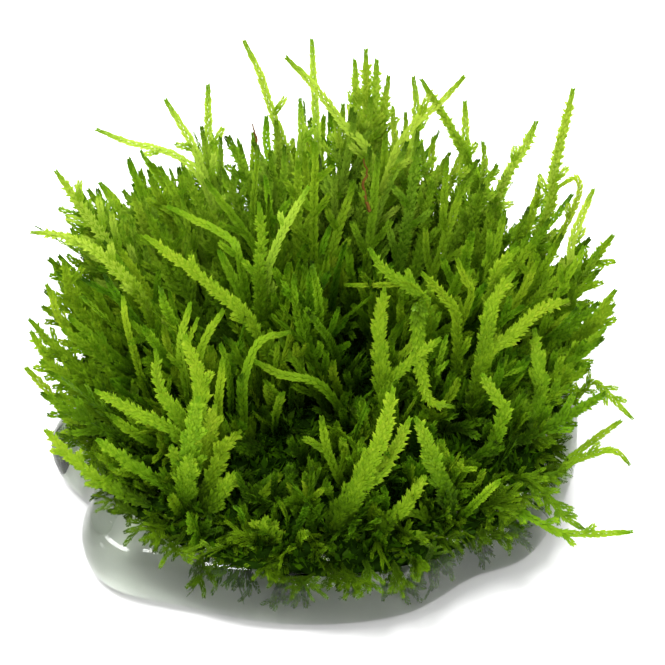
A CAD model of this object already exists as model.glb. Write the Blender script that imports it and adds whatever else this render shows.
"""Looks of the moss clump: leafy moss shoots on a clear gel pad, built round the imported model.

Metres, +Z up, -Y towards the front. Lists whose names end in _MM are in millimetres.
"""

import math

import bpy
import numpy as np
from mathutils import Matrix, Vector


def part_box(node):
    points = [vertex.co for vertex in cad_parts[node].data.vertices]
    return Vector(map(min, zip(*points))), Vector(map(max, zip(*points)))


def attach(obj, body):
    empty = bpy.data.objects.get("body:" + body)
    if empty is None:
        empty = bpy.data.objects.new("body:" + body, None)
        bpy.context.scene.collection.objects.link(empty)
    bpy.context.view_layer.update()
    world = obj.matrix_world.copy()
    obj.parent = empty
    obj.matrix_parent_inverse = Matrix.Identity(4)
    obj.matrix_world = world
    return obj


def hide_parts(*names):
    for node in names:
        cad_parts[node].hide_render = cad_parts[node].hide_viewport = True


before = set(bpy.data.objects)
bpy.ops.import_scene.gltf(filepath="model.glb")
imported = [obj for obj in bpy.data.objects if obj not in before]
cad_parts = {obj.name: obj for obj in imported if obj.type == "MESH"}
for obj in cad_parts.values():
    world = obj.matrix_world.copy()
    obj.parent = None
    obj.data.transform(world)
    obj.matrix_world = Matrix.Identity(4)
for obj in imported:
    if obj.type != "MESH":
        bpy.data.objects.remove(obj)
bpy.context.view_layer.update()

MM = 0.001
UP = np.array((0.0, 0.0, 1.0))
LOWEST = 0.0001

# The side that is looked at: 42 degrees above level, from the front
VIEW_TILT = math.radians(42)
TOWARDS = np.array((0.0, -math.cos(VIEW_TILT), math.sin(VIEW_TILT)))
VIEW_MIDDLE_MM = (1.25, 0, 19)
VIEW_WIDTH = 0.0725
LENS = 200
SENSOR = 36

# Leaves
LEAF_LENGTH = 0.00125
LEAF_WIDTH_SHARE = 0.47
LEAF_STEP = 0.00028
LEAF_FOLD = 0.10
LEAF_TIP_PALER = 0.12
LEAF_SHOULDER = 0.42
LEAF_SPREAD = math.radians(38)
# How they change along their stem: (places from its foot to its tip, values there)
LEAF_TAPER = ((0, 0.15, 0.60, 0.93, 1), (0.70, 1.0, 0.95, 0.84, 0.62))
LEAF_PALENESS = ((0.3, 0.7, 0.9, 1), (0, 1, 1, 0))
LEAF_FACES = np.array(((0, 2, 1), (0, 3, 2)))
# Their colour by age: 0 is young, 1 is old
LEAF_COLOURS = (
    (0.0, (0.330, 0.470, 0.020)),
    (0.25, (0.203, 0.368, 0.007)),
    (0.50, (0.100, 0.240, 0.002)),
    (0.78, (0.027, 0.082, 0.001)),
    (1.0, (0.005, 0.018, 0.001)),
)

# Stems, and how age runs along them: 0 is young and bright, 1 is old and dark
STEM_RADIUS = 0.00011
STEM_SIDES = 3
STEM_STEP = 0.0012
MIDDLE_OLDER = 0.24
BUD_DARKER = 0.36
FRONT_DARKER = 0.12

# Fronds of a tuft
FRONDS_IN_TUFT = 22
FROND_LENGTHS = (0.48, 1.14)
ROOT_SINK = 0.0030
SIDE_TRIM = 0.12
OUTLINE_AT_GEL = 0.0255
OUTLINE_WIDENS = 0.50
SHORTEST_FROND = 0.004

# Broad fronds and long shoots: points on their lines, how many at the foot the loose fronds may hide, and
# the point that tells which tuft a frond belongs to
SPRAY_SPREAD = math.radians(36)
SPRAY_LEAF = 0.66
SPRAY_STEP = 0.00042
SPRAY_SHORTEST_SIDE = 0.00036
SPRAY_POINTS = 28
SPRAY_HIDDEN = 9
SPRAY_HOME = 12
SHOOT_POINTS = 34
SHOOT_HIDDEN = 12
BACK_FRONDS = 92
SIDE_FRONDS = 15

# Old growth, gel, drops of water and dead stems
MAT_FRONDS = 205
MAT_STOPS = 0.0268
CORE_SHARE = 0.93
CORE_EDGE = 0.0080
CORE_RISE = 0.0046
CORE_LEAVES = 12000
FRINGE_FRONDS = 275
LIP_RADIUS = 0.0266
LIP_HEIGHT = 0.0084
LIP_SLOPE = 1.7
LIP_OVERHANG = 0.0031
GEL_SHOOTS = 105
GEL_SHOOTS_STOP = 0.0255
GEL_CAD_SIDES = 60
GEL_SIDES = 240
GEL_WALL_DEPTH = 0.0034
GEL_WALL_RINGS = 18
GEL_DISH_DEPTH = 0.0014
GEL_DISH_SLOPE = 0.0052
BEADS = 120
DEAD_STEM_RADIUS = 0.00028

# Studio: lamp's name, place, size and power
LIGHTS = (
    ("key", (-0.20, -0.12, 0.60), 0.26, 4.6),
    ("back", (0.10, 0.45, 0.35), 0.25, 4.0),
    ("fill", (0.25, -0.46, 0.31), 0.45, 1.9),
    ("side", (-0.55, -0.25, 0.16), 0.14, 0.8),
)
LIGHTS_AIM = Vector((0, 0, 0.015))
SKY_STRENGTH = 0.76
FLOOR_HEIGHT = 0.00003

# Hollows in the clump: across and back from the middle, and how wide (mm)
HOLLOWS_HEIGHT_MM = 11.0
HOLLOWS_MM = (
    (-12.6, 10.6, 2.6),
    (-8.3, 21.0, 2.0),
    (9.6, 20.5, 2.4),
    (12.5, 17.5, 1.8),
    (4.5, 1.4, 2.0),
    (19.0, -9.5, 3.0),
    (15.0, -7.0, 2.2),
    (-2.0, -8.5, 2.4),
    (-7.2, -12.0, 2.6),
    (-9.0, -14.5, 2.2),
    (3.0, 6.0, 1.5),
    (-21.0, 4.0, 1.6),
    (8.5, -12.5, 1.8),
)

# How high the fronds along the back stand: across, height of their tips (mm)
BACK_SKYLINE_MM = (
    (-28.5, 25.5), (-25.0, 26.0), (-22.0, 26.5), (-18.5, 28.0), (-16.0, 29.5), (-14.0, 32.5), (-11.5, 34.5),
    (-8.0, 34.5), (-4.0, 34.0), (0.0, 35.5), (4.0, 38.0), (7.0, 36.5), (9.5, 34.5), (12.0, 34.0),
    (15.0, 32.0), (18.0, 31.0), (20.0, 28.5), (23.0, 28.5), (26.0, 26.0), (29.0, 22.0),
)

# Broad fronds by place: corners of their middle line (mm), width, side branches, their reach, age at the tip
SPRAYS_MM = (
    # left side
    (((-17, -6, 10), (-24.2, -4, 11.9), (-28.7, -1, 13.8), (-31.8, 2, 17.2)), 1.10, 4, 0.14, 0.15),
    (((-11, -16, 10), (-15.4, -15, 17.9), (-20.2, -13, 19.7), (-23.9, -11, 20.5)), 1.25, 2, 0.10, 0.05),
    (((-13.5, -17, 9.5), (-20, -16, 14.4), (-23.6, -15, 17)), 1.25, 2, 0.12, 0.08),
    (((-12, -17, 10), (-14.6, -14, 18.1), (-17, -12, 21.5), (-17.5, -10, 25.2)), 1.40, 0, 0.10, 0.0),
    (((-12.5, -15, 9.5), (-13.2, -14, 17.3), (-12.8, -11, 21.3), (-14.3, -8, 25.5)), 1.90, 3, 0.16, 0.0),
    (((-13, -17, 9.5), (-12, -16, 17.4), (-11.2, -14, 21)), 1.75, 3, 0.15, 0.0),
    (((-13.8, -18, 9.3), (-14.6, -17, 14), (-15.8, -16.5, 17.5)), 1.60, 3, 0.15, 0.08),
    (((-14.3, -18.5, 10), (-13.9, -17, 16.5), (-12.9, -15, 23.2)), 1.80, 3, 0.14, 0.05),
    (((-13, -18.5, 10), (-11.9, -18, 13.5), (-10.4, -16.5, 17), (-8.7, -15, 18.2)), 1.40, 2, 0.12, 0.08),
    (((-13, -19, 9.5), (-11.6, -19, 11.6), (-9.2, -17.5, 14.5)), 1.50, 3, 0.20, 0.12),
    (((-14, -19, 9), (-14.4, -18.6, 13), (-13.8, -17.6, 17.2)), 1.80, 3, 0.16, 0.10),
    (((-10.5, -13, 10), (-10.9, -12, 19.2), (-10.6, -11, 21.8), (-10.4, -10, 23.8)), 0.95, 0, 0.10, 0.12),
    (((-8, -11, 10.5), (-8.3, -10, 19.4), (-7.7, -9, 22.5), (-6.4, -7.5, 24.6), (-3.5, -6, 24.4)),
     0.85, 0, 0.1, 0.12),
    (((4, -9, 12), (0, -8.5, 19), (-4.3, -8.5, 20.6), (-6.9, -9, 22.9)), 0.85, 0, 0.10, 0.10),
    (((-19, -1, 10), (-27.5, 2, 17), (-29.9, 4, 22.2)), 0.85, 3, 0.12, 0.15),
    (((-19, -3, 10), (-27, 0, 13.5), (-31.8, 2, 18.9)), 1.0, 5, 0.16, 0.15),
    (((-18, 2, 11), (-26.5, 4.5, 18), (-28.2, 6, 24.2)), 1.0, 7, 0.20, 0.20),
    (((-18, -6, 10), (-20.8, -3, 22.1), (-21.4, 0, 24.2)), 0.75, 0, 0.10, 0.10),
    (((-13, -8, 11), (-15, -7, 22), (-14, -4, 26.6)), 0.95, 2, 0.12, 0.05),
    (((-14, -8, 11), (-14.6, -7, 21), (-13.2, -5, 25.4)), 0.95, 0, 0.12, 0.05),
    (((-13, -8, 11), (-13, -6.5, 21.5), (-10.5, -4, 25.7)), 0.85, 0, 0.12, 0.08),
    (((-7, 1, 13), (-8.8, 4, 25.7), (-10.2, 7, 26.7), (-13.7, 9, 27.4), (-16.5, 10, 28.4)),
     0.85, 2, 0.10, 0.20),
    (((-6, -1, 12), (-6.7, 1, 25.5), (-6.4, 4, 28.7), (-6.7, 6, 32.3)), 1.15, 2, 0.10, 0.22),
    # back left fan
    (((-15, 7, 12), (-24, 11, 22), (-27.8, 14, 27.9)), 1.15, 14, 0.26, 0.32),
    (((-14, 8, 12), (-22, 12, 22), (-25.7, 15, 26.6)), 1.15, 14, 0.26, 0.35),
    (((-13, 9, 12), (-19, 13.5, 22), (-21.9, 16, 25.6)), 1.15, 14, 0.26, 0.38),
    (((-12, 9, 12), (-16.5, 14, 22), (-18.8, 16, 27.4)), 1.10, 13, 0.24, 0.30),
    (((-11, 9, 12), (-14.5, 14, 21), (-16.5, 16, 24.8)), 1.10, 13, 0.24, 0.40),
    # front
    (((0.9, -23.5, 7.5), (1.5, -22.5, 11.8), (4.5, -20.5, 17.3), (6.65, -18.5, 22.1), (7.6, -17, 26.2)),
     1.85, 0, 0.1, 0.0),
    (((1.0, -23, 8), (3.9, -21.5, 15.3), (7.2, -19, 18.1), (9.3, -17.5, 22.4)), 1.45, 0, 0.10, 0.0),
    (((14.5, -20, 9.5), (13.7, -19.5, 12), (12.4, -18.5, 15.5), (10.9, -17.5, 20), (10.1, -17, 21.9)),
     1.55, 0, 0.1, 0.05),
    (((5.6, -23, 9), (7.2, -22, 11.7), (9.4, -21, 14.1), (10.9, -20, 16.5)), 1.35, 0, 0.10, 0.0),
    (((17, -13, 10), (18.6, -12, 14), (19.7, -10.5, 17.1), (19, -10, 18.2), (17.3, -9, 20.9)),
     1.2, 0, 0.1, 0.05),
    (((5, -11, 11), (6.65, -9, 17.7), (7.5, -8, 19.2), (9.9, -7, 21.5), (12.6, -6, 23.3)),
     1.05, 0, 0.10, 0.08),
    (((9, 0, 20), (10.3, -3, 26.5), (10.3, -5, 23.9), (10.8, -8, 20.4), (11.6, -10, 18.2), (14, -10, 17.3)),
     1.30, 0, 0.1, 0.14),
    (((7, -11, 11), (6.65, -8, 19.2), (6.3, -4, 23), (6.8, -1, 26.2)), 1.7, 0, 0.10, 0.15),
    (((-7.6, -19.8, 10.5), (-6.4, -19, 12.5), (-4.3, -18, 14.9)), 0.95, 0, 0.1, 0.05),
    (((-6, -23.5, 9.4), (-7, -23.3, 10.2), (-7.75, -22.6, 10.8)), 1.05, 0, 0.1, 0.12),
    (((-6, -23.5, 9.4), (-6.6, -23, 10.8), (-7.0, -21.9, 11.6)), 1.05, 0, 0.1, 0.10),
    (((-6, -23.5, 9.4), (-6, -23, 11), (-5.9, -21.7, 11.9)), 1.05, 0, 0.1, 0.10),
    (((-6, -23.5, 9.4), (-5.4, -23, 10.8), (-4.8, -22.0, 11.5)), 1.05, 0, 0.1, 0.12),
    (((-6, -23.5, 9.4), (-5, -23.3, 10.2), (-4.15, -22.7, 10.7)), 1.05, 0, 0.1, 0.14),
    (((-6, -23.5, 9.4), (-6.8, -23.7, 9.7), (-7.5, -23.4, 9.9)), 0.95, 0, 0.1, 0.16),
    (((2.4, -22.5, 8.5), (3.4, -23, 9.4), (4.2, -23.2, 10.4)), 0.8, 0, 0.1, 0.0),
    (((2.4, -22.5, 8.5), (2.8, -23.3, 8.9), (3.6, -24, 9.2)), 0.75, 0, 0.1, 0.0),
    (((12.5, -21, 9), (11, -20.5, 11), (8.5, -20.2, 12)), 0.85, 2, 0.15, 0.25),
    (((7, -22, 8.8), (8.6, -22.5, 10.2), (10.8, -22.8, 10.8)), 0.85, 3, 0.2, 0.3),
    (((18, -12, 10.5), (22.5, -14, 9.5), (25, -15, 7.9), (26.1, -16.3, 7.1), (28.2, -17.6, 6.4)),
     0.78, 8, 0.14, 0.25),
    (((16, -17, 9.5), (18.5, -18, 10), (21, -18.3, 9.2)), 0.95, 4, 0.2, 0.25),
    # right side
    (((22, -9, 9.5), (23.3, -7, 11), (24.1, -4, 14.6), (23.6, -2, 16.7), (23.3, 0, 19.1)), 1.2, 3, 0.14, 0.1),
    (((17, -7, 10), (20.3, -5, 12.6), (25.5, -1, 13.4), (27.9, 0, 15.5), (31, 2, 17.6)), 1.35, 6, 0.12, 0.15),
    (((16, -8, 11), (17.6, -4.5, 19), (20.8, -2, 20.4), (23.6, 1, 21.2), (26.8, 2.5, 21.4)),
     1.4, 0, 0.1, 0.1),
    (((21, 3, 10), (27.4, 6, 22.5), (28.8, 8, 24.3)), 0.95, 4, 0.14, 0.2),
    (((21, 5, 10.5), (29, 8, 21), (31.9, 9, 25)), 1.05, 7, 0.20, 0.25),
    (((21, 4, 10.5), (28.5, 7, 20), (30.4, 8, 24)), 1.05, 7, 0.20, 0.25),
    (((21, 1, 10), (29, 4, 16), (32.3, 6, 19.6)), 1.05, 7, 0.20, 0.22),
    (((21, 0, 10), (28.5, 3, 14.5), (32.2, 5, 18.6)), 1.05, 7, 0.20, 0.22),
    (((13, 0, 12), (16.2, 1, 23), (15.7, 1.5, 25), (14.7, 2, 27.8)), 0.8, 2, 0.10, 0.15),
    (((15, -5, 11), (14.6, -2, 22.7), (13.5, -1, 24.7), (11, 0, 27.5)), 1.05, 2, 0.10, 0.12),
    (((17, 0, 11), (18.6, 2, 23.1), (19, 3, 25.4), (21.2, 4, 27.5)), 1.15, 3, 0.12, 0.18),
    (((17, -7, 11), (17.9, -3, 22.1), (19, 0, 24.2), (20.8, 2, 25.7)), 1.6, 0, 0.10, 0.12),
    (((12, -2, 12), (11.5, -1, 23), (9.4, 0, 25.7), (6.7, 0.5, 27.7), (5.3, 1, 30)), 1.05, 3, 0.12, 0.16),
    (((12, -2, 12), (11.5, -1, 23), (9.9, 0, 25.7), (6, 0, 25.9), (2.8, 0, 25.9)), 0.7, 0, 0.10, 0.12),
    # back
    (((4, 13, 12), (4.2, 18, 29), (3.7, 22, 39.2)), 1.10, 6, 0.10, 0.16),
    (((4.5, 13, 12), (5, 18, 29), (4.9, 22, 40.5)), 1.20, 8, 0.12, 0.16),
    (((5, 13, 12), (5.8, 18, 29), (6.1, 22, 39.2)), 1.15, 8, 0.12, 0.18),
    (((6, 13, 12), (6.6, 18.5, 30), (7.4, 22, 36.9)), 1.25, 7, 0.14, 0.20),
    (((5, 13, 12), (5.2, 17, 27), (5.4, 20, 35.5)), 1.20, 9, 0.16, 0.22),
    (((8, 14, 12), (8.2, 17, 27), (7.9, 20, 34.4)), 0.85, 4, 0.14, 0.10),
    (((9, 14, 12), (9.5, 17, 27), (9.3, 20, 33.4)), 0.85, 5, 0.14, 0.15),
    (((11, 13, 12), (11.8, 16, 25), (12.4, 19, 30.7)), 0.90, 5, 0.14, 0.20),
    (((2, 13, 12), (2.1, 17, 27), (2.4, 20, 34.7)), 0.85, 4, 0.12, 0.22),
    (((-2, 13, 12), (-2, 17, 27), (-2.3, 20, 35.4)), 0.85, 3, 0.12, 0.20),
    (((-2, 12, 12), (-2.6, 16, 25), (-2.3, 19, 31.3)), 0.90, 5, 0.14, 0.30),
    (((20, 11, 11), (19.5, 14, 24.4), (17.3, 16, 27), (15.2, 17.5, 31.5), (13, 18.5, 35.4), (11, 19, 39)),
     1.0, 3, 0.08, 0.12),
    (((9, 14, 12), (10.4, 19, 33), (10.1, 20, 38.5)), 0.95, 3, 0.10, 0.08),
    (((14, 12, 12), (15.8, 18, 29), (15.8, 19, 35.9)), 0.95, 3, 0.12, 0.08),
    (((17, 13, 12), (18, 16, 28), (17.8, 17, 31.9)), 0.9, 5, 0.14, 0.2),
    (((20, 12, 11), (23.6, 15, 24), (24.1, 15, 28)), 0.9, 3, 0.12, 0.2),
    (((21, 8, 11), (27.2, 12, 24.7), (28.4, 13, 28.3), (28, 13.5, 29.7), (26.1, 13.5, 28.4)),
     0.8, 2, 0.10, 0.05),
)

# Long shoots that stand out past the tufts: corners (mm), width, side branches, their reach
SHOOTS_MM = {
    "shoot_back_left_tall": (
        ((0, 13, 12), (-3.6, 18, 28.5), (-5.6, 19.8, 34.5), (-6.7, 20.9, 38.3), (-8.4, 22, 42)),
     0.86, 3, 0.08),
    "shoot_back_tall": (((-1, 14, 12), (-0.4, 19, 29), (-0.6, 21, 32.5), (-1, 23.5, 41)), 0.88, 2, 0.08),
    "shoot_back_leaning": (
        ((7, 12, 12), (6, 15, 29.5), (2.3, 17.5, 34.2), (-0.7, 18.4, 38.5), (-3.7, 19, 42)), 0.92, 3, 0.10),
    "shoot_back_left_upright": (
        ((-11, 12, 12), (-12.9, 16.5, 26), (-12.5, 18.3, 30.5), (-12.4, 20, 37.5)), 0.88, 3, 0.12),
    "shoot_back_left_slanting": (
        ((-8, 11, 12), (-12.6, 14.5, 28), (-14.1, 16.2, 32), (-17, 18.5, 36.5)), 0.95, 4, 0.12),
    "shoot_left_thin_arch": (
        ((-8, 9, 12), (-12.5, 12.5, 28.5), (-15.1, 14, 31.8), (-18.1, 15.5, 32.2), (-21.2, 16.5, 32.3),
         (-24.5, 17, 33.6)), 0.78, 2, 0.06),
    "shoot_left_broad": (((-15, 7, 12), (-22.5, 9.5, 22), (-25.5, 11.5, 25.5), (-29, 14, 30)), 1.05, 9, 0.20),
    "shoot_left_long_arch": (
        ((-15.5, -1, 12), (-19.2, 1, 22.5), (-22, 3, 25.2), (-24.5, 5, 26.4), (-28, 7, 26.8),
         (-31.6, 8, 26.5)),
        1.15, 4, 0.07),
    "shoot_top_diagonal": (
        ((-2, -7, 13), (-7.2, -5, 24.3), (-10.4, -4, 27.8), (-13.7, -3, 30.6), (-18.5, -1.5, 34)),
     1.12, 3, 0.06),
    "shoot_top_upright": (((-7, -1, 13), (-6, 1.5, 24.5), (-4.6, 3, 29.5), (-1.4, 5, 35.3)), 0.9, 2, 0.08),
    "shoot_back_right_long": (
        ((3, 10, 13), (7.5, 14, 30.5), (10.3, 17, 34.6), (13, 18.7, 36), (15.5, 20, 38.5)), 0.92, 4, 0.12),
    "shoot_right_thick": (
        ((14, 10, 12), (19.5, 14.5, 25.5), (20.6, 15, 29), (22.5, 16, 32.3), (23.5, 16.5, 35)),
     1.15, 4, 0.10),
    "shoot_right_tall": (
        ((19, 9, 11), (24.9, 13, 24.5), (25.5, 14.5, 28.5), (26.3, 16, 33), (26.7, 16.5, 34.5),
         (27.5, 18, 38.5)),
        1.0, 3, 0.08),
    "shoot_right_short": (((20, 4, 11), (26.9, 7, 21), (27.4, 8.5, 24), (28.5, 10, 27), (29.7, 11, 30)),
     0.95, 3, 0.10),
    "shoot_right_drooping": (
        ((20, 1, 10.5), (25, 0.5, 8.9), (27.7, 0, 8.6), (28.8, 0, 10.2), (30, 0, 11.7), (31.5, -0.3, 10.5),
         (32.8, -0.6, 8.9), (34.5, -1, 7.1)), 0.66, 12, 0.05),
    "shoot_right_straight": (
        ((20, -13, 10), (25.2, -11.3, 8.4), (27.4, -8.8, 8.7), (29.9, -6.5, 9.1), (32.9, -4.5, 10)),
     0.78, 0, 0.05),
    "shoot_right_curved": (
        ((20, -13, 10), (25.2, -11.3, 8.3), (27.4, -9.2, 8.3), (29.6, -8, 8.3), (31.2, -7.9, 8.8),
         (32.6, -8, 8.4), (33.8, -8, 6.7)), 0.76, 2, 0.05),
    "shoot_right_front_long": (
        ((16, -15, 10.5), (20.5, -17.5, 9.6), (23.9, -18.8, 8.2), (25.7, -18.9, 7.1), (29.9, -18.2, 6.2),
         (33.4, -17.5, 5.8)), 0.80, 4, 0.05),
    "shoot_left_side": (
        ((-20, -8, 9.5), (-25.5, -5.5, 9.6), (-27.6, -4.5, 9.9), (-29.5, -2.5, 11.8), (-32.2, -1.5, 15)),
     0.95, 3, 0.10),
    "shoot_left_front": (((-17, -18, 9.5), (-22.8, -16, 11.3), (-26.8, -12.5, 12), (-29.8, -9, 12.8)),
     1.12, 4, 0.08),
}

# Swells and dents of the gel's lip: place (mm), radius (mm), height (mm)
GEL_SWELLS_MM = (
    ((-23.5, -18.5, 7), 3.2, 0.9),
    ((-20.5, -20.5, 8), 1.6, -0.7),
    ((-17.0, -22.5, 7), 3.0, 0.5),
    ((-11.0, -26.0, 6), 2.6, -0.4),
    ((-28.0, -3.5, 6), 2.2, 0.7),
    ((-25.5, -9.0, 7), 2.4, -0.5),
    ((23.0, -16.0, 6), 3.0, 0.4),
    ((27.5, 2.0, 6), 3.0, 0.4),
)

# Dead stems: corners of their middle line (mm)
DEAD_STEMS_MM = (
    ((-7.0, 17.5, 29.2), (-7.1, 18.5, 30.8), (-7.5, 19.5, 32.6)),
    ((5.4, 10.1, 27.7), (4.6, 11.6, 30.2), (5.1, 12.1, 31.3), (4.7, 12.6, 33.2)),
)


def unit(vectors):
    """Vectors scaled to length 1, along their last axis."""
    return vectors / np.maximum(np.linalg.norm(vectors, axis=-1, keepdims=True), 1e-12)


def node_points(node):
    """A CAD node's corners, in metres."""
    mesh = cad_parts[node].data
    points = np.empty(len(mesh.vertices) * 3, np.float32)
    mesh.vertices.foreach_get("co", points)
    return points.reshape(-1, 3).astype(float)


def ends_of(node):
    """(foot, tip) of a long CAD solid: the middles of its lower and its upper end."""
    points = node_points(node)
    centre = points.mean(0)
    axis = np.linalg.svd(points - centre, full_matrices=False)[2][0]
    along = (points - centre) @ axis
    end = 0.06 * np.ptp(along)
    one = points[along < along.min() + end].mean(0)
    other = points[along > along.max() - end].mean(0)
    return (other, one) if one[2] > other[2] else (one, other)


class Foliage:
    """Leaves and stems gathered into one mesh. Each point carries (age, tint, paleness)."""

    def __init__(self):
        self.points = []
        self.faces = []
        self.growth = []
        self.total = 0

    def add(self, points, faces, growth):
        """Points, triangles between them, and what each point carries."""
        self.points.append(points)
        self.faces.append(faces + self.total)
        self.growth.append(growth)
        self.total += len(points)

    def add_quads(self, corners, growth):
        """Four-cornered leaves, each of two triangles."""
        first = np.arange(corners.size // 12)[:, None, None] * 4
        self.add(corners.reshape(-1, 3), (first + LEAF_FACES).reshape(-1, 3), growth.reshape(-1, 3))

    def build(self, name, material):
        """The mesh as an object in the scene. No point is lower than the top of what the gel stands on."""
        points = np.concatenate(self.points)
        points[:, 2] = np.maximum(points[:, 2], LOWEST)
        faces = np.concatenate(self.faces)
        mesh = bpy.data.meshes.new(name)
        mesh.vertices.add(len(points))
        mesh.vertices.foreach_set("co", points.astype(np.float32).ravel())
        mesh.loops.add(faces.size)
        mesh.loops.foreach_set("vertex_index", faces.astype(np.int32).ravel())
        mesh.polygons.add(len(faces))
        mesh.polygons.foreach_set("loop_start", np.arange(0, faces.size, 3, dtype=np.int32))
        attribute = mesh.attributes.new("growth", "FLOAT_VECTOR", "POINT")
        attribute.data.foreach_set("vector", np.concatenate(self.growth).astype(np.float32).ravel())
        mesh.update(calc_edges=True)
        return placed(name, mesh, material)


def placed(name, mesh, material):
    """A smooth object of the mesh, in the scene and on the root body."""
    mesh.shade_smooth()
    mesh.materials.append(material)
    piece = bpy.data.objects.new(name, mesh)
    bpy.context.scene.collection.objects.link(piece)
    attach(piece, "root")
    return piece


def row_faces(rows, sides):
    """Triangles between rows of points that run round an axis."""
    here = np.arange(sides)
    beside = (here + 1) % sides
    faces = []
    for row in range(rows - 1):
        a, b = row * sides + here, row * sides + beside
        faces.append(np.stack((a, a + sides, b), 1))
        faces.append(np.stack((b, a + sides, b + sides), 1))
    return np.concatenate(faces)


def along_axis(axis, places):
    """(points, headings) at distances along a line of points."""
    steps = np.linalg.norm(np.diff(axis, axis=0), axis=1)
    reach = np.concatenate(([0.0], np.cumsum(steps)))
    headings = unit(np.gradient(axis, axis=0))
    points = np.stack([np.interp(places, reach, axis[:, i]) for i in range(3)], axis=1)
    turned = np.stack([np.interp(places, reach, headings[:, i]) for i in range(3)], axis=1)
    return points, unit(turned)


def length_of(axis):
    """How long a line of points is."""
    return float(np.linalg.norm(np.diff(axis, axis=0), axis=1).sum())


def cut_at(line, hits):
    """The line up to its first point where hits is true."""
    found = np.flatnonzero(hits)
    return line[: found[0]] if len(found) else line


def smooth_line(corners_mm, count):
    """Evenly spaced points, in metres, on a Catmull-Rom curve through corners in millimetres."""
    corners = np.array(corners_mm, float) * MM
    padded = np.vstack((2 * corners[0] - corners[1], corners, 2 * corners[-1] - corners[-2]))
    t = np.linspace(0, 1, 24, endpoint=False)[:, None]
    runs = []
    for i in range(1, len(padded) - 2):
        a, b, c, d = padded[i - 1 : i + 3]
        square = (2 * a - 5 * b + 4 * c - d) * t**2
        cube = (3 * b - a - 3 * c + d) * t**3
        runs.append(0.5 * (2 * b + (c - a) * t + square + cube))
    runs.append(corners[-1:])
    fine = np.vstack(runs)
    steps = np.concatenate(([0.0], np.cumsum(np.linalg.norm(np.diff(fine, axis=0), axis=1))))
    even = np.linspace(0, steps[-1], count)
    return np.stack([np.interp(even, steps, fine[:, i]) for i in range(3)], axis=1)


def grown_line(root, heading, length, bend, chance, wander=0.10):
    """A line that starts off along heading and turns towards bend as it grows, with a little wander."""
    count = max(6, int(length / STEM_STEP))
    t = np.linspace(0, 1, count)[:, None]
    phase = chance.uniform(0, math.tau, 3)
    waves = np.sin(t * chance.uniform(3, 7) + phase) - np.sin(phase)
    headings = unit(heading + bend * t**1.3 + waves * wander)
    steps = headings[:-1] * (length / (count - 1))
    return np.vstack((root, root + np.cumsum(steps, axis=0)))


def add_stem(foliage, axis, normal, radius, age, tint, pale=0.0):
    """A thin three-sided tube round the line, tapering to its tip."""
    count = len(axis)
    _, heading = along_axis(axis, np.linspace(0, length_of(axis), count))
    flat = unit(normal - heading * (heading @ normal)[:, None])
    side = np.cross(flat, heading)
    turns = np.arange(STEM_SIDES) * math.tau / STEM_SIDES
    taper = np.linspace(1.0, 0.35, count)[:, None, None]
    outward = side[:, None] * np.cos(turns)[None, :, None] + flat[:, None] * np.sin(turns)[None, :, None]
    points = axis[:, None] + outward * radius * taper
    first = np.arange(count - 1)[:, None] * STEM_SIDES
    here = first + np.arange(STEM_SIDES)
    beside = first + (np.arange(STEM_SIDES) + 1) % STEM_SIDES
    one = np.stack((here, beside, beside + STEM_SIDES), axis=-1).reshape(-1, 3)
    two = np.stack((here, beside + STEM_SIDES, here + STEM_SIDES), axis=-1).reshape(-1, 3)
    growth = np.zeros((count, STEM_SIDES, 3))
    growth[..., 0] = np.linspace(age[0], age[1], count)[:, None]
    growth[..., 1] = tint
    growth[..., 2] = pale
    foliage.add(points.reshape(-1, 3), np.concatenate((one, two)), growth.reshape(-1, 3))


def leaf_ways(heading, flat, along, open_to, chance):
    """(out, way) of three leaves at each place: two to the sides and one along the front or the back."""
    count = len(along)
    step = np.arange(count)
    lean = np.where((step // 2) % 2, 0.6, -0.6)
    across = np.stack((np.ones(count), -np.ones(count), lean), 1)
    above = np.stack((np.full(count, 0.10), np.full(count, 0.10), np.where(step % 2, 0.75, -0.75)), 1)
    above += chance.uniform(-0.13, 0.13, (count, 3))
    side = np.cross(flat, heading)
    out = unit(side[:, None] * across[..., None] + flat[:, None] * above[..., None])
    spread = open_to * (0.36 + 0.64 * np.minimum(1, (1 - along) * 6.0))[:, None] * np.array((1, 1, 0.45))
    spread = spread * chance.uniform(0.80, 1.14, (count, 3))
    way = unit(heading[:, None] * np.cos(spread)[..., None] + out * np.sin(spread)[..., None])
    return out, way


def leaf_corners(points, flat, out, way, size, along, chance):
    """The root, left shoulder, tip and right shoulder of each leaf."""
    count = len(along)
    taper = np.interp(along, *LEAF_TAPER)[:, None]
    long = LEAF_LENGTH * size * taper * chance.uniform(0.80, 1.20, (count, 3))
    broad = long * LEAF_WIDTH_SHARE * chance.uniform(0.88, 1.12, (count, 3))
    wide = unit(np.cross(flat[:, None], way) + flat[:, None] * chance.uniform(-0.28, 0.28, (count, 3, 1)))
    face = unit(np.cross(way, wide))
    root = points[:, None] + out * STEM_RADIUS * 0.6
    shoulder = root + way * (long * LEAF_SHOULDER)[..., None] + face * (broad * LEAF_FOLD)[..., None]
    left = shoulder + wide * (broad / 2)[..., None]
    right = shoulder - wide * (broad / 2)[..., None]
    curl = chance.uniform(-0.12, 0.14, (count, 3))
    tip = root + way * long[..., None] + face * (long * curl)[..., None]
    return np.stack((root, left, tip, right), axis=2)


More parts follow.
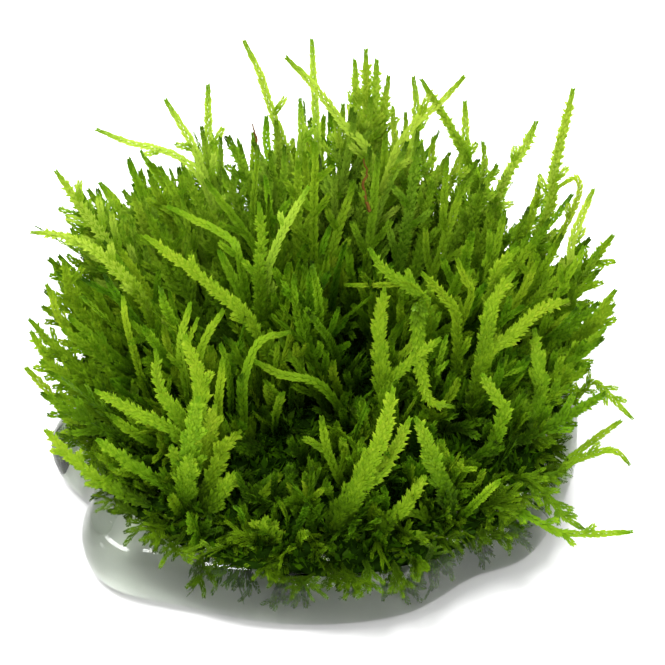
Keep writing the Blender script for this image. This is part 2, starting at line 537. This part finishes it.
def leaf_growth(along, age, tint, pale, chance):
    """Age, tint and paleness of each leaf's corners: oldest at the foot, brightest just under the bud."""
    count = len(along)
    turning = (age[0], age[1] + MIDDLE_OLDER, age[1], age[1] + BUD_DARKER)
    ages = np.interp(along, (0, 0.45, 0.88, 1), turning)[:, None]
    growth = np.zeros((count, 3, 4, 3))
    growth[..., 0] = (ages + chance.uniform(-0.05, 0.05, (count, 3)))[..., None]
    growth[..., 1] = (tint + chance.uniform(-0.10, 0.10, (count, 3)))[..., None]
    growth[..., 2] = (pale * np.interp(along, *LEAF_PALENESS))[:, None, None]
    growth[..., 2, 2] += LEAF_TIP_PALER
    return growth


def add_leaves(foliage, axis, normal, size, age, tint, chance, start=0.0, pale=0.0, open_to=LEAF_SPREAD):
    """Leaves by threes along a stem, all kept near one plane."""
    length = length_of(axis)
    places = np.arange(start * length, length, LEAF_STEP * (0.55 + 0.45 * size))
    if len(places) < 2:
        return
    points, heading = along_axis(axis, places)
    along = places / length
    flat = unit(normal - heading * (heading @ normal)[:, None])
    out, way = leaf_ways(heading, flat, along, open_to, chance)
    corners = leaf_corners(points, flat, out, way, size, along, chance)
    foliage.add_quads(corners, leaf_growth(along, age, tint, pale, chance))


def add_frond(foliage, axis, normal, chance, size, age, tint, start=0.1, branches=0, reach=0.3, pale=0.0,
              open_to=LEAF_SPREAD):
    """A leafy shoot along a line, with side branches in its plane that get shorter towards the tip."""
    add_stem(foliage, axis, normal, STEM_RADIUS, age, tint, pale)
    add_leaves(foliage, axis, normal, size, age, tint, chance, start, pale, open_to)
    length = length_of(axis)
    for number in range(branches):
        place = 0.22 + 0.62 * (number + chance.uniform(0, 0.8)) / branches
        points, heading = along_axis(axis, np.array((place * length,)))
        root, way = points[0], heading[0]
        flat = unit(normal - way * (way @ normal))
        side = np.cross(flat, way) * (1 if number % 2 else -1)
        grown = length * reach * (1.15 - place) * chance.uniform(0.7, 1.3) + 0.0012
        open_ = math.radians(chance.uniform(28, 46))
        start_way = way * math.cos(open_) + side * math.sin(open_) + flat * chance.uniform(-0.2, 0.25)
        bend = way * 0.35 + flat * chance.uniform(-0.15, 0.15)
        line = grown_line(root, unit(start_way), grown, bend, chance)
        here = age[0] + (age[1] - age[0]) * place
        tip_age = max(age[1], here - 0.35)
        add_stem(foliage, line, flat, STEM_RADIUS * 0.7, (here, tip_age), tint, pale)
        add_leaves(foliage, line, flat, size * 0.78, (here, tip_age), tint, chance, 0.05, pale, open_to)


def add_spray(foliage, axis, normal, chance, width, age, tint, branches, reach, pale):
    """A broad flat frond: small leaves on its stem and, where it is wide enough, on short side shoots."""
    leaf = min(width * 0.74, SPRAY_LEAF)
    open_to = SPRAY_SPREAD * min(1.05, 0.64 + 0.42 * width)
    add_frond(foliage, axis, normal, chance, leaf, age, tint, 0.08, branches, reach, pale * 0.9, open_to)
    short = 0.00095 * (width - 0.60)
    if short < SPRAY_SHORTEST_SIDE:
        return
    length = length_of(axis)
    places = np.arange(0.12 * length, 0.94 * length, SPRAY_STEP)
    points, heading = along_axis(axis, places)
    t = np.linspace(0, 1, 4)[:, None]
    for number, (point, way) in enumerate(zip(points, heading)):
        share = places[number] / length
        flat = unit(normal - way * (way @ normal))
        side = np.cross(flat, way) * (1 if number % 2 else -1)
        open_ = math.radians(chance.uniform(26, 40))
        out = unit(way * math.cos(open_) + side * math.sin(open_) + flat * chance.uniform(-0.12, 0.12))
        swell = np.interp(share, (0, 0.2, 0.55, 1), (0.8, 1.05, 0.85, 0.10))
        grown = short * chance.uniform(0.7, 1.5) * swell + 0.0002
        line = point + out * np.linspace(0, grown, 4)[:, None] + way * (t**2) * grown * 0.3
        here = float(np.interp(share, (0, 0.45, 1), (age[0], age[1] + MIDDLE_OLDER, age[1])))
        fade = pale * float(np.interp(share, (0.4, 0.7, 0.93), (0, 1, 0.5)))
        add_leaves(foliage, line, flat, leaf * 0.84, (here, here - 0.12), tint, chance, 0.0, fade, open_to)


def seen(points):
    """(across, up, near) of points, as they look from TOWARDS."""
    rise = points[:, 2] * math.cos(VIEW_TILT) + points[:, 1] * math.sin(VIEW_TILT)
    near = points[:, 2] * math.sin(VIEW_TILT) - points[:, 1] * math.cos(VIEW_TILT)
    return np.stack((points[:, 0], rise, near), axis=1)


def clear_of(line, kept, room):
    """The line cut short where it would come in front of the kept points, closer than room."""
    place = seen(line)
    gap = np.hypot(place[:, None, 0] - kept[None, :, 0], place[:, None, 1] - kept[None, :, 1])
    hides = (gap < room) & (place[:, None, 2] > kept[None, :, 2] + 0.0006)
    return cut_at(line, hides.any(axis=1))


def inside_outline(line):
    """The line cut short where it would leave the clump's outline: narrow at the gel and wider above."""
    out = np.hypot(line[:, 0], line[:, 1]) - np.where(line[:, 1] < 0, 0, 0.15) * np.abs(line[:, 1])
    allowed = OUTLINE_AT_GEL + OUTLINE_WIDENS * np.maximum(0, line[:, 2] - 0.009)
    return cut_at(line, out > allowed)


def kept_in_view():
    """What is seen of the placed fronds, long shoots and dead stems; the loose fronds keep clear of it."""
    sprays = [line[SPRAY_HIDDEN:] for line, *_ in placed_sprays()]
    shoots = [smooth_line(corners, SHOOT_POINTS)[SHOOT_HIDDEN:] for corners, *_ in SHOOTS_MM.values()]
    dead = [smooth_line(corners, 8) for corners in DEAD_STEMS_MM]
    return seen(np.concatenate(sprays + shoots + dead))


def placed_sprays():
    """The big fronds of SPRAYS_MM as (line, size, branches, reach, age at the tip)."""
    return [(smooth_line(corners, SPRAY_POINTS), *rest) for corners, *rest in SPRAYS_MM]


def back_fronds():
    """Fronds that stand along the back, close together, as (line, size, branches, reach, age at the tip)."""
    chance = np.random.default_rng(61)
    across, tops = np.array(BACK_SKYLINE_MM).T
    fronds = []
    for number in range(BACK_FRONDS):
        x = -28.0 + 56.5 * (number + chance.uniform(0, 1)) / BACK_FRONDS
        deep = chance.uniform(11.5, 20.0) - 6.0 * (abs(x) / 28) ** 3
        tall = float(np.interp(x, across, tops)) * chance.uniform(0.80, 1.0)
        corners = (
            (x * 0.62, deep - 7.0, 11.0),
            (x * 0.84 + chance.normal(0, 0.8), deep - 3.0, 11 + (tall - 11) * 0.52),
            (x + chance.normal(0, 1.2), deep, tall),
        )
        branches = int(chance.choice((2, 4, 7)))
        size = chance.uniform(0.80, 1.05)
        reach = chance.uniform(0.16, 0.26)
        line = smooth_line(corners, SPRAY_POINTS)
        fronds.append((line, size, branches, reach, chance.uniform(0.22, 0.48)))
    return fronds


def side_fronds():
    """Fronds that lean out to the left and to the right, as (line, size, branches, reach, age at the tip)."""
    chance = np.random.default_rng(62)
    fronds = []
    for side in (-1, 1):
        for number in range(SIDE_FRONDS):
            deep = -7.0 + 17.0 * (number + chance.uniform(0, 1)) / SIDE_FRONDS
            tall = 14.5 + 0.45 * (deep + 7.0) + chance.uniform(-2.5, 2.0)
            out = chance.uniform(27.0, 31.0)
            corners = (
                (side * 18.0, deep - 3.0, 10.0),
                (side * (out * 0.80), deep - 1.5 + chance.normal(0, 0.5), 10 + (tall - 10) * 0.42),
                (side * out, deep, tall),
            )
            size = chance.uniform(0.85, 1.1)
            branches = int(chance.choice((2, 4, 6)))
            line = smooth_line(corners, SPRAY_POINTS)
            fronds.append((line, size, branches, 0.20, chance.uniform(0.18, 0.45)))
    return fronds


def tuft_trim(foot, outward):
    """How much shorter the fronds are in the tufts at the far left and right."""
    outer = max(0.0, float(np.hypot(foot[0], foot[1])) - 0.012) / 0.010
    return 1 - SIDE_TRIM * outer * abs(outward[0]) ** 1.5


def add_tuft(foliage, node, kept, chance):
    """Fronds that fan out of a tuft solid's foot and fill it to its tip."""
    foot, tip = ends_of(node)
    axis = unit(tip - foot)
    length = float(np.linalg.norm(tip - foot))
    points = node_points(node)
    from_axis = (points - foot) - ((points - foot) @ axis)[:, None] * axis
    half_width = float(np.linalg.norm(from_axis, axis=1).max())
    outward = unit(np.array((foot[0], foot[1], 0.0)) + 1e-5)
    trim = tuft_trim(foot, outward)
    side = unit(np.cross(UP, axis + np.array((1e-4, 0, 0))))
    over = np.cross(axis, side)
    for number in range(FRONDS_IN_TUFT):
        turn = chance.uniform(0, math.tau)
        share = math.sqrt((number + 0.5) / FRONDS_IN_TUFT)
        offset = side * math.cos(turn) + over * math.sin(turn)
        root = foot + offset * half_width * 0.85 * share
        root[2] -= ROOT_SINK
        lean = offset * share * chance.uniform(0.10, 0.42) + chance.normal(0, 0.09, 3)
        heading = unit(axis + lean)
        grown = (length + ROOT_SINK) * chance.uniform(*FROND_LENGTHS) * (1.04 - 0.16 * share) * trim
        bend = outward * chance.uniform(-0.2, 0.35) + chance.normal(0, 0.18, 3)
        bend = bend + UP * chance.uniform(-0.05, 0.35)
        line = grown_line(root, heading, grown, bend, chance, 0.14)
        size = chance.uniform(0.52, 0.84)
        branches = int(chance.choice((0, 0, 0, 2, 3, 6)))
        line = inside_outline(clear_of(line, kept, 0.0011 + 0.0008 * (branches > 0)))
        for across, depth, room in HOLLOWS_MM:
            line = clear_of(line, seen(np.array(((across, depth, HOLLOWS_HEIGHT_MM),)) * MM), room * MM)
        normal = unit(TOWARDS * 0.6 + UP * 0.2 + chance.normal(0, 0.45, 3))
        young = chance.uniform(0.17, 0.62) - 0.10 * float(np.clip(foot[1] / 0.012, 0, 1))
        tint = chance.uniform(0.1, 0.9)
        if length_of(line) > SHORTEST_FROND:
            add_frond(foliage, line, normal, chance, size, (1.0, young), tint, 0.12, branches, 0.32)


def make_tufts(material):
    """Each tuft solid's loose fronds, with the placed fronds that stand nearest to it."""
    kept = kept_in_view()
    sprays = placed_sprays() + back_fronds() + side_fronds()
    nodes = sorted(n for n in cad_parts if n.startswith("tuft_"))
    middles = np.array([node_points(node).mean(0) for node in nodes])
    homes = [int(np.linalg.norm(middles - line[SPRAY_HOME], axis=1).argmin()) for line, *_ in sprays]
    for number, node in enumerate(nodes):
        chance = np.random.default_rng(100 + number)
        foliage = Foliage()
        add_tuft(foliage, node, kept, chance)
        for home, (line, size, branches, reach, young) in zip(homes, sprays):
            if home == number:
                normal = unit(TOWARDS + chance.normal(0, 0.30, 3))
                tint = chance.uniform(0.1, 0.6)
                depth = line[-1][1]
                age = young + FRONT_DARKER * float(np.clip((0.006 - depth) / 0.012, 0, 1))
                pale = float(np.clip((depth - 0.010) / 0.010, 0, 1)) * chance.uniform(0.1, 0.7)
                add_spray(foliage, line, normal, chance, size, (0.94, age), tint, branches, reach, pale)
        piece = foliage.build(node + "_leaves", material)
        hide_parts(node)


def make_long_shoots(material):
    """One frond in place of each long shoot's solid, paler towards the back, where light comes through."""
    for number, (node, (corners, size, branches, reach)) in enumerate(SHOOTS_MM.items()):
        chance = np.random.default_rng(500 + number)
        line = smooth_line(corners, SHOOT_POINTS)
        normal = unit(TOWARDS + UP * 0.2 + chance.normal(0, 0.35, 3))
        pale = float(np.clip((line[-1][1] + 0.002) / 0.012, 0, 1)) * chance.uniform(0.6, 1.0)
        tint = chance.uniform(0.1, 0.6)
        foliage = Foliage()
        add_spray(foliage, line, normal, chance, size, (0.9, 0.12), tint, branches, reach, pale)
        piece = foliage.build(node + "_leaves", material)
        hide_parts(node)


def gel_rim():
    """The pad's radius at evenly spaced angles, read from the widest points of its CAD solid."""
    points = node_points("gel_pad")
    angles = np.degrees(np.arctan2(points[:, 1], points[:, 0])) % 360
    radii = np.hypot(points[:, 0], points[:, 1])
    step = 360 / GEL_CAD_SIDES
    places = np.arange(0, 360, step)
    widest = np.array([radii[np.abs((angles - a + 180) % 360 - 180) < step / 4].max() for a in places])
    spectrum = np.fft.rfft(widest)
    fine = np.zeros(GEL_SIDES // 2 + 1, complex)
    fine[: len(spectrum)] = spectrum
    return np.fft.irfft(fine, GEL_SIDES) * GEL_SIDES / len(places)


def gel_lumps(points):
    """The points moved to make the gel's wall and lip uneven; its flat foot stays."""
    x, y, z = (points / 0.0045).T
    rise = np.clip((points[:, 2] - 0.0008) / 0.003, 0, 1)
    out = unit(points * (1, 1, 0))
    for place, radius, height in GEL_SWELLS_MM:
        gap = np.linalg.norm(points / MM - place, axis=1)
        swell = np.exp(-((gap / radius) ** 2)) * rise * height * MM
        points = points + (out * 0.6 + UP * 0.6) * swell[:, None]
    wave = np.sin(1.3 * x + 0.7 * z + 1.0) * np.sin(1.1 * y - 0.9 * z + 0.4)
    wave = wave + 0.6 * np.sin(2.3 * x - 1.9 * y + 2.2 * z)
    sag = np.sin(0.9 * x - 1.2 * y + 0.5) + 0.5 * np.sin(2.0 * x + 1.7 * y)
    points = points + out * (wave * rise * 0.00025)[:, None]
    return points + UP * (sag * rise * 0.00018)[:, None]


def gel_rings(height):
    """Rings of points: out along the foot, up the wall, over the lip and in across the dish."""
    rim = gel_rim()
    inner = rim - GEL_WALL_DEPTH
    turn = np.arange(GEL_SIDES) * math.tau / GEL_SIDES
    wave = 0.00025 * np.sin(3 * turn + 0.5) + 0.00018 * np.sin(7 * turn + 2.0) + 0.0001 * np.sin(13 * turn)
    rings = [(inner * share, 0.0) for share in (0.15, 0.35, 0.55, 0.75, 0.9)]
    for step in range(GEL_WALL_RINGS + 1):
        angle = math.radians(-90 + 180 * step / GEL_WALL_RINGS)
        out = max(math.cos(angle), 0.0) ** 0.8
        rise = math.copysign(abs(math.sin(angle)) ** 0.85, math.sin(angle))
        share = (1 + rise) / 2
        rings.append((rim - GEL_WALL_DEPTH * (1 - out), height * share + wave * share))
    for step in range(1, 7):
        share = step / 6
        sunk = GEL_DISH_DEPTH * (1 - math.cos(math.pi * share)) / 2
        rings.append((inner - GEL_DISH_SLOPE * share, height + wave * (1 - share) - sunk))
    for share in (0.85, 0.65, 0.45, 0.25, 0.1):
        rings.append(((inner - GEL_DISH_SLOPE) * share, height - GEL_DISH_DEPTH))
    flat = np.ones(GEL_SIDES)
    return [np.stack((out * np.cos(turn), out * np.sin(turn), level * flat), 1) for out, level in rings]


def make_gel(material):
    """The gel pad: flat foot, rounded wall and lip, and a shallow dish on top."""
    rings = gel_rings(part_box("gel_pad")[1].z)
    here = np.arange(GEL_SIDES)
    beside = (here + 1) % GEL_SIDES
    faces = []
    for row in range(len(rings) - 1):
        a, b = row * GEL_SIDES + here, row * GEL_SIDES + beside
        faces += np.stack((a, b, b + GEL_SIDES, a + GEL_SIDES), 1).tolist()
    faces.append(here[::-1].tolist())
    faces.append(((len(rings) - 1) * GEL_SIDES + here).tolist())
    mesh = bpy.data.meshes.new("gel_pad_body")
    mesh.from_pydata(gel_lumps(np.concatenate(rings)).tolist(), [], faces)
    piece = placed("gel_pad_body", mesh, material)
    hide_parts("gel_pad")


def make_core(reach, material):
    """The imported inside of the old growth: a low dark dome with a torn surface."""
    chance = np.random.default_rng(9)
    sides, rings = 96, 22
    turn = np.arange(sides) * math.tau / sides
    rows = []
    for step in range(rings + 1):
        share = step / rings
        radius = reach * math.sin(share * math.pi / 2)
        ragged = chance.uniform(-0.0006, 0.0006, sides)
        level = CORE_EDGE + CORE_RISE * math.cos(share * math.pi / 2) + ragged * 1.2
        rows.append(np.stack((radius * np.cos(turn) + ragged, radius * np.sin(turn) - ragged, level), 1))
    rows.append(np.stack((reach * 0.9 * np.cos(turn), reach * 0.9 * np.sin(turn), np.full(sides, 0.0062)), 1))
    points = np.concatenate(rows)
    foliage = Foliage()
    foliage.add(points, row_faces(len(rows), sides), np.tile((1.0, 0.5, 0.0), (len(points), 1)))
    foliage.build("moss_mat_core", material)


def add_litter(foliage, reach):
    """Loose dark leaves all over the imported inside."""
    chance = np.random.default_rng(19)
    turn = chance.uniform(0, math.tau, CORE_LEAVES)
    share = np.sqrt(chance.uniform(0, 1, CORE_LEAVES))
    level = CORE_EDGE + 0.0002 + CORE_RISE * np.sqrt(1 - share**2)
    root = np.stack((reach * share * np.cos(turn), reach * share * np.sin(turn), level), 1)
    way = unit(chance.normal(0, 1, (CORE_LEAVES, 3)) + UP * 0.8)
    wide = unit(np.cross(way, chance.normal(0, 1, (CORE_LEAVES, 3))))
    long = chance.uniform(0.0008, 0.0018, (CORE_LEAVES, 1))
    shoulder = root + way * long * 0.4
    half = wide * long * 0.2
    corners = np.stack((root, shoulder + half, root + way * long, shoulder - half), 1)
    growth = np.zeros((CORE_LEAVES, 4, 3))
    growth[..., 0] = chance.uniform(0.66, 0.98, (CORE_LEAVES, 1))
    growth[..., 1] = 0.5
    foliage.add_quads(corners, growth)


def outward_at(turn):
    """The level direction at an angle round the clump."""
    return np.array((math.cos(turn), math.sin(turn), 0.0))


def from_middle(line):
    """How far the line's points are from the clump's axis."""
    return np.hypot(line[:, 0], line[:, 1])


def make_mat(material, packed):
    """Old growth: a low tangle of dark shoots over a packed inside."""
    chance = np.random.default_rng(42)
    foliage = Foliage()
    low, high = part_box("moss_mat")
    reach = (high.x - low.x) / 2
    make_core(reach * CORE_SHARE, packed)
    add_litter(foliage, reach * CORE_SHARE)
    for _ in range(MAT_FRONDS):
        radius = reach * 0.94 * math.sqrt(chance.uniform(0, 1))
        outward = outward_at(chance.uniform(0, math.tau))
        top = 0.0150 - 0.0052 * (radius / 0.025) ** 2
        root = outward * radius + UP * (top - 0.0015)
        way = chance.normal(0, 1, 3)
        way[2] = abs(way[2]) * 0.7 + 0.3
        heading = unit(unit(way) + outward * 0.4)
        grown = chance.uniform(0.004, 0.009)
        line = grown_line(root, heading, grown, chance.normal(0, 0.3, 3) + UP * 0.3, chance)
        line[:, 2] = np.maximum(line[:, 2], top - 0.0012)
        line = cut_at(line, from_middle(line) > MAT_STOPS)
        if len(line) < 3:
            continue
        normal = unit(UP + chance.normal(0, 0.5, 3))
        branches = int(chance.choice((0, 1, 3)))
        size = chance.uniform(0.6, 0.85)
        add_frond(foliage, line, normal, chance, size, (0.98, 0.62), 0.5, 0.0, branches, 0.45)
    piece = foliage.build("moss_mat_growth", material)
    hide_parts("moss_mat")


def make_fringe(material):
    """Small shoots round the mat's edge that lap over the gel's lip. Gives the places where drops cling."""
    chance = np.random.default_rng(43)
    kept = kept_in_view()
    front_half, back_half = Foliage(), Foliage()
    perches = []
    for number in range(FRINGE_FRONDS):
        turn = math.tau * (number + chance.uniform(0, 1)) / FRINGE_FRONDS
        in_front = turn > math.pi
        outward = outward_at(turn)
        front = max(0.0, -outward[1])
        radius = chance.uniform(0.0200, 0.0242 + 0.0036 * front)
        root = outward * radius + UP * chance.uniform(0.0084, 0.0098)
        heading = unit(outward + UP * chance.uniform(-0.05, 0.55) + chance.normal(0, 0.45, 3))
        grown = chance.uniform(0.0030, 0.0050 + 0.0022 * front)
        line = grown_line(root, heading, grown, UP * chance.uniform(-1.0, 0.1), chance, 0.25)
        past = from_middle(line) - LIP_RADIUS
        line[:, 2] = np.maximum(line[:, 2], LIP_HEIGHT - LIP_SLOPE * np.maximum(0, past))
        line = clear_of(cut_at(line, past > LIP_OVERHANG), kept, 0.0007)
        if len(line) < 4:
            continue
        perches.append(line[len(line) // 2:])
        normal = unit(TOWARDS * 0.5 + UP * 0.5 + outward * 0.3 + chance.normal(0, 0.5, 3))
        branches = int(chance.choice((4, 5, 7) if in_front else (2, 3, 4)))
        young = chance.uniform(0.40, 0.72)
        size = chance.uniform(0.30, 0.46)
        tint = chance.uniform(-0.6, 0.3)
        half = front_half if in_front else back_half
        add_frond(half, line, normal, chance, size, (0.85, young), tint, 0.0, branches, 0.42)
    front_half.build("moss_fringe_front", material)
    back_half.build("moss_fringe_back", material)
    return np.concatenate(perches)


def make_gel_growth(material):
    """Old shoots set in the gel under its top, most of them on the right and in front."""
    chance = np.random.default_rng(77)
    foliage = Foliage()
    for _ in range(GEL_SHOOTS):
        turns = (chance.uniform(0, 360), chance.uniform(240, 380), chance.uniform(290, 380))
        outward = outward_at(math.radians(chance.choice(turns)))
        root = outward * chance.uniform(0.0165, 0.0232) + UP * chance.uniform(0.0020, 0.0060)
        heading = unit(outward + chance.normal(0, 0.45, 3) * (1, 1, 0.3))
        line = grown_line(root, heading, chance.uniform(0.004, 0.007), chance.normal(0, 0.3, 3), chance, 0.2)
        line[:, 2] = np.clip(line[:, 2], 0.0013, 0.0060)
        line = cut_at(line, from_middle(line) > GEL_SHOOTS_STOP)
        if len(line) < 4:
            continue
        normal = unit(UP + chance.normal(0, 0.5, 3))
        add_frond(foliage, line, normal, chance, chance.uniform(0.36, 0.52), (0.75, 0.42), 0.4, 0.0, 3, 0.4)
    foliage.build("moss_in_gel", material)


def bead_shape(sides=8, rows=5):
    """(points, faces) of a small ball of radius 1."""
    turn = np.arange(sides) * math.tau / sides
    tilt = np.linspace(0, math.pi, rows + 2)[1:-1]
    across = np.outer(np.sin(tilt), np.cos(turn))
    deep = np.outer(np.sin(tilt), np.sin(turn))
    ball = np.stack((across, deep, np.outer(np.cos(tilt), np.ones(sides))), -1).reshape(-1, 3)
    here = np.arange(sides)
    beside = (here + 1) % sides
    last = (rows - 1) * sides
    top = np.stack((np.full(sides, rows * sides), here, beside), 1)
    foot = np.stack((np.full(sides, rows * sides + 1), last + beside, last + here), 1)
    return np.vstack((ball, (0, 0, 1), (0, 0, -1))), np.concatenate((row_faces(rows, sides), top, foot))


def make_beads(material, perches):
    """Drops of water, well under a millimetre, that cling to the shoots along the gel's lip."""
    chance = np.random.default_rng(21)
    foliage = Foliage()
    ball, faces = bead_shape()
    near = perches[perches[:, 1] < 0.004]
    for place in near[chance.choice(len(near), BEADS, replace=False)]:
        size = chance.uniform(0.00011, 0.00021)
        middle = place + TOWARDS * (STEM_RADIUS + size * 0.8)
        foliage.add(ball * size + middle, faces, np.zeros((len(ball), 3)))
    foliage.build("water_beads", material)


def make_dead_stems(material):
    """Two bare dry stems, a little crooked."""
    chance = np.random.default_rng(5)
    foliage = Foliage()
    for corners in DEAD_STEMS_MM:
        line = smooth_line(corners, 16)
        line[1:] += chance.normal(0, 0.00008, (15, 3))
        add_stem(foliage, line, TOWARDS, DEAD_STEM_RADIUS, (0.5, 0.5), 0.5)
    foliage.build("dead_stems", material)


def set_inputs(material, node, inputs):
    """Sets a shader node's inputs to numbers and colours, or joins them to other nodes' outputs."""
    for name, value in inputs.items():
        if isinstance(value, bpy.types.NodeSocket):
            material.node_tree.links.new(value, node.inputs[name])
        else:
            node.inputs[name].default_value = value


def add_node(material, kind, inputs):
    """A new shader node with these inputs."""
    node = material.node_tree.nodes.new("ShaderNode" + kind)
    set_inputs(material, node, inputs)
    return node


def new_material(name, inputs):
    """A material whose Principled shader has these inputs."""
    material = bpy.data.materials.new(name)
    material.use_nodes = True
    set_inputs(material, material.node_tree.nodes["Principled BSDF"], inputs)
    return material


def add_noise(material, inputs):
    """A noise texture's value."""
    return add_node(material, "TexNoise", inputs).outputs["Fac"]


def mapped(material, value, inputs):
    """A value moved from one range to another, 0 to 1 unless the inputs say otherwise."""
    return add_node(material, "MapRange", {"Value": value, **inputs}).outputs["Result"]


def worked_out(material, operation, one, other):
    """Two values added or multiplied, kept between 0 and 1."""
    node = add_node(material, "Math", {0: one, 1: other})
    node.operation = operation
    node.use_clamp = True
    return node.outputs[0]


def add_ramp(material, stops, value):
    """The colour at a value between 0 and 1, with stops of (place, colour)."""
    ramp = add_node(material, "ValToRGB", {"Fac": value})
    elements = ramp.color_ramp.elements
    while len(elements) < len(stops):
        elements.new(0.5)
    for element, (place, colour) in zip(elements, stops):
        element.position = place
        element.color = (*colour, 1)
    return ramp.outputs["Color"]


def leaf_material(name):
    """Leaves: yellow-green when young to black-green when old, with lighter flecks, and lit through."""
    material = new_material(name, {"Roughness": 0.40, "Specular IOR Level": 0.10,
                                   "Specular Tint": (0.70, 0.95, 0.25, 1)})
    growth = add_node(material, "Attribute", {})
    growth.attribute_name = "growth"
    parts = add_node(material, "SeparateXYZ", {0: growth.outputs["Vector"]}).outputs
    age, tint, paleness = parts["X"], parts["Y"], parts["Z"]
    patches = add_noise(material, {"Scale": 900.0, "Detail": 3.0})
    green = add_node(material, "HueSaturation", {
        "Hue": mapped(material, tint, {"To Min": 0.485, "To Max": 0.515}),
        "Value": mapped(material, patches, {"To Min": 0.55, "To Max": 1.35}),
        "Color": add_ramp(material, LEAF_COLOURS, age),
    })
    specks = add_noise(material, {"Scale": 2400.0, "Detail": 1.0})
    flecks = mapped(material, specks, {"From Min": 0.60, "From Max": 0.68, "To Max": 0.50})
    young = mapped(material, age, {"From Min": 0.75, "From Max": 0.15})
    young_flecks = worked_out(material, "MULTIPLY", flecks, young)
    tips = worked_out(material, "MULTIPLY", paleness, 0.40)
    mix = add_node(material, "Mix", {})
    mix.data_type = "RGBA"
    factor = worked_out(material, "ADD", tips, young_flecks)
    set_inputs(material, mix, {"Factor": factor, "A": green.outputs["Color"], "B": (0.60, 0.76, 0.11, 1)})
    colour = mix.outputs["Result"]
    nodes = material.node_tree.nodes
    set_inputs(material, nodes["Principled BSDF"], {"Base Color": colour})
    through = add_node(material, "BsdfTranslucent", {"Color": colour})
    surface = add_node(material, "MixShader", {
        "Fac": 0.38, 1: nodes["Principled BSDF"].outputs["BSDF"], 2: through.outputs["BSDF"]})
    set_inputs(material, nodes["Material Output"], {"Surface": surface.outputs["Shader"]})
    return material


def mottled_material(name, scale, dark, light, roughness, gloss):
    """Patches of two colours."""
    material = new_material(name, {"Roughness": roughness, "Specular IOR Level": gloss})
    colour = add_ramp(material, ((0, dark), (1, light)), add_noise(material, {"Scale": scale}))
    set_inputs(material, material.node_tree.nodes["Principled BSDF"], {"Base Color": colour})
    return material


def dead_material():
    """Dry brown stem."""
    return mottled_material("dead_moss", 1500.0, (0.035, 0.015, 0.002), (0.170, 0.080, 0.010), 0.7, 0.1)


def packed_material():
    """Packed old leaves, almost black and quite matt."""
    return mottled_material("packed_moss", 1200.0, (0.002, 0.006, 0.0006), (0.012, 0.034, 0.002), 1.0, 0.0)


def water_material():
    """Clear water."""
    return new_material("water", {
        "Base Color": (1, 1, 1, 1), "Roughness": 0.02, "IOR": 1.33, "Transmission Weight": 1.0})


def gel_material():
    """Clear, slightly grey-green wet gel."""
    material = new_material("nutrient_gel", {
        "Base Color": (0.90, 0.93, 0.89, 1), "Roughness": 0.06, "IOR": 1.34, "Transmission Weight": 1.0})
    absorption = add_node(material, "VolumeAbsorption", {"Color": (0.53, 0.59, 0.47, 1), "Density": 66.0})
    output = material.node_tree.nodes["Material Output"]
    set_inputs(material, output, {"Volume": absorption.outputs["Volume"]})
    return material


def floor_material():
    """Matt white paper."""
    return new_material("pale_floor", {"Base Color": (0.90, 0.90, 0.90, 1), "Roughness": 0.9})


def make_stage():
    """White floor and sky, and the lamps, all aimed at the clump."""
    bpy.ops.mesh.primitive_plane_add(size=4.0, location=(0, 0, FLOOR_HEIGHT))
    floor = bpy.context.object
    floor.name = "floor"
    floor.data.materials.append(floor_material())
    world = bpy.data.worlds.new("studio")
    world.use_nodes = True
    sky = world.node_tree.nodes["Background"]
    sky.inputs["Color"].default_value = (1, 1, 1, 1)
    sky.inputs["Strength"].default_value = SKY_STRENGTH
    bpy.context.scene.world = world
    for name, place, size, power in LIGHTS:
        light = bpy.data.lights.new(name, "AREA")
        light.shape = "DISK"
        light.size = size
        light.energy = power
        lamp = bpy.data.objects.new(name, light)
        lamp.location = place
        lamp.rotation_euler = (LIGHTS_AIM - Vector(place)).to_track_quat("-Z", "Y").to_euler()
        bpy.context.scene.collection.objects.link(lamp)


def make_camera():
    """A long lens in front and above, so wide that the clump fills the picture as in the photo."""
    data = bpy.data.cameras.new("camera")
    data.lens = LENS
    data.sensor_width = SENSOR
    data.clip_start = 0.01
    data.clip_end = 10
    back = Vector(TOWARDS)
    camera = bpy.data.objects.new("camera", data)
    camera.location = Vector(VIEW_MIDDLE_MM) * MM + back * (VIEW_WIDTH * LENS / SENSOR)
    camera.rotation_euler = back.to_track_quat("Z", "Y").to_euler()
    bpy.context.scene.collection.objects.link(camera)
    bpy.context.scene.camera = camera


bpy.context.scene.view_settings.view_transform = "Standard"
leaves = leaf_material("leafy_moss")
make_camera()
make_stage()
make_gel(gel_material())
make_mat(leaves, packed_material())
perches = make_fringe(leaves)
make_gel_growth(leaves)
make_dead_stems(dead_material())
make_beads(water_material(), perches)
make_tufts(leaves)
make_long_shoots(leaves)
